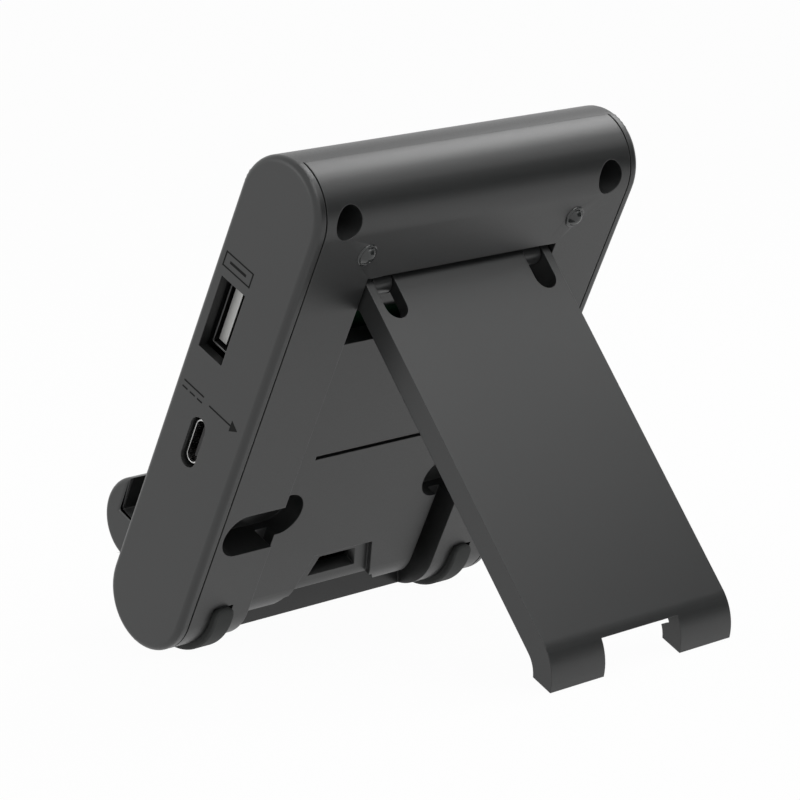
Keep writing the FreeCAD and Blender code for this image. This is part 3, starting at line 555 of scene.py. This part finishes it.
def addContacts():
    tree = contactTree()
    inputs = [item for item in tree.interface.items_tree if item.in_out == "INPUT"]
    sockets = {item.name: item.identifier for item in inputs}
    for name, (count, pitch, size, first) in contacts.items():
        piece = makeObject(name, bpy.data.meshes.new(name), finish["contact_gold"])
        nodes = piece.modifiers.new("row", "NODES")
        nodes.node_group = tree
        nodes[sockets["Count"]] = count
        nodes[sockets["First"]] = tuple(onSlab(*first))
        nodes[sockets["Step"]] = tuple(along(0, 0, pitch * mm))
        nodes[sockets["Size"]] = tuple(length * mm for length in size)
        nodes[sockets["Turn"]] = (-lean, 0.0, 0.0)
        nodes[sockets["Metal"]] = finish["contact_gold"]
        settled(piece)
        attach(piece, "stand")


addPrisms("dataMark", "markSkin", "printed_ink")
addPrisms("powerMark", "markSkin", "printed_ink")
addPrisms("tongueLip", "lipSkin", "bright_lip")
addStuds()
addContacts()
print("details added")


# camera: the photograph's viewpoint, measured on the slab's own axes
camera = {
    "place": (457.0, 361.9, 339.1),  # mm from the slab's centre
    "right": (-0.71399, 0.63180, 0.30174),
    "down": (0.16019, 0.56693, -0.80804),
    "look": (-0.68158, -0.52859, -0.50600),
    "focalPixels": 3710.0,
    "framePixels": 800.0,
    "sensor": 36.0,
}


def addCamera():
    lens = bpy.data.cameras.new("photoCamera")
    lens.sensor_fit = "HORIZONTAL"
    lens.sensor_width = camera["sensor"]
    lens.lens = camera["focalPixels"] / camera["framePixels"] * camera["sensor"]
    lens.clip_start, lens.clip_end = 0.01, 20.0
    view = bpy.data.objects.new("photoCamera", lens)
    bpy.context.scene.collection.objects.link(view)
    right, down, look = (along(*camera[key]).normalized() for key in ("right", "down", "look"))
    turn = Matrix((right, -down, -look)).transposed().to_4x4()
    view.matrix_world = Matrix.Translation(onSlab(*camera["place"])) @ turn
    bpy.context.scene.camera = view


addCamera()
print("camera placed")


# studio
studio = {
    "floorSize": 6.0,  # m
    "floorPaint": "#f2f2f2",
    "floorShown": 0.97,  # share of the floor that the camera sees as plain white
    "world": 0.4,  # strength of the pale surroundings as a light
    "lamps": {  # name: (place m, aim m, width and height m, power W)
        "overheadSoftbox": ((-0.42, 0.05, 0.50), (0.0, 0.0, 0.06), (0.30, 0.20), 0.98),
        "rearFill": ((-0.1, 0.55, 0.6), (0.0, 0.0, 0.05), (0.5, 0.4), 1.6),
        "endFill": ((0.7, -0.35, 0.3), (0.0, 0.0, 0.05), (0.4, 0.4), 0.9),
    },
    "flag": ((-0.26, 0.27), 0.46, 0.21),  # m, the black card's middle on the floor, width and height
}


def sheet(name, corners):
    mesh = bpy.data.meshes.new(name)
    mesh.from_pydata(corners, [], [(0, 1, 2, 3)])
    return mesh


def seenWhite(tree):
    # 1 for rays that find plain white: from the camera, from a shiny surface or through a clear one
    path = addNode(tree, "ShaderNodeLightPath")
    seen = addNode(tree, "ShaderNodeMath", {"operation": "MAXIMUM"}, {
        0: (path, "Is Camera Ray"), 1: (path, "Is Glossy Ray")})
    return addNode(tree, "ShaderNodeMath", {"operation": "MAXIMUM"}, {
        0: (seen, "Value"), 1: (path, "Is Transmission Ray")})


def addFloor():
    half = studio["floorSize"] / 2
    mesh = sheet("studioFloor", [(-half, -half, 0), (half, -half, 0), (half, half, 0), (-half, half, 0)])
    material, tree = newMaterial("paintedStudioFloor")
    paint = addNode(tree, "ShaderNodeBsdfDiffuse", {}, {"Color": hexLinear(studio["floorPaint"])})
    white = addNode(tree, "ShaderNodeEmission", {}, {"Color": (1, 1, 1, 1), "Strength": 1.0})
    share = addNode(tree, "ShaderNodeMath", {"operation": "MULTIPLY"}, {
        0: (seenWhite(tree), "Value"), 1: studio["floorShown"]})
    mix = addNode(tree, "ShaderNodeMixShader", {}, {
        0: (share, "Value"), 1: (paint, "BSDF"), 2: (white, "Emission")})
    addNode(tree, "ShaderNodeOutputMaterial", {}, {"Surface": (mix, "Shader")})
    floor = makeObject("studioFloor", mesh, material)


def addWorld():
    world = bpy.data.worlds.new("paleStudio")
    bpy.context.scene.world = world
    world.use_nodes = True
    tree = world.node_tree
    tree.nodes.clear()
    strength = addNode(tree, "ShaderNodeMapRange", {}, {
        "Value": (seenWhite(tree), "Value"), "To Min": studio["world"], "To Max": 1.0})
    sky = addNode(tree, "ShaderNodeBackground", {}, {
        "Color": (1, 1, 1, 1), "Strength": (strength, "Result")})
    addNode(tree, "ShaderNodeOutputWorld", {}, {"Surface": (sky, "Background")})


def addLamps():
    for name, (place, aim, size, power) in studio["lamps"].items():
        lamp = bpy.data.lights.new(name, "AREA")
        lamp.shape = "RECTANGLE"
        lamp.size, lamp.size_y = size
        lamp.energy = power
        holder = bpy.data.objects.new(name, lamp)
        bpy.context.scene.collection.objects.link(holder)
        holder.location = place
        holder.rotation_euler = (Vector(aim) - Vector(place)).to_track_quat("-Z", "Y").to_euler()


def addFlag():
    # a black card beside the object, out of view, that darkens what faces it
    (x, y), width, height = studio["flag"]
    middle = Vector((x, y, 0))
    across = Vector((-y, x, 0)).normalized() * width / 2
    up = Vector((0, 0, height))
    corners = [middle - across, middle + across, middle + across + up, middle - across + up]
    mesh = sheet("blackFlag", corners)
    material, tree = newMaterial("blackFlockedCard")
    shader = addNode(tree, "ShaderNodeBsdfDiffuse", {}, {"Color": hexLinear("#101010")})
    addNode(tree, "ShaderNodeOutputMaterial", {}, {"Surface": (shader, "BSDF")})
    card = makeObject("blackFlag", mesh, material)
    card.visible_camera = False


addFloor()
addWorld()
addLamps()
addFlag()
bpy.context.scene.view_settings.view_transform = "Standard"
print("studio set")
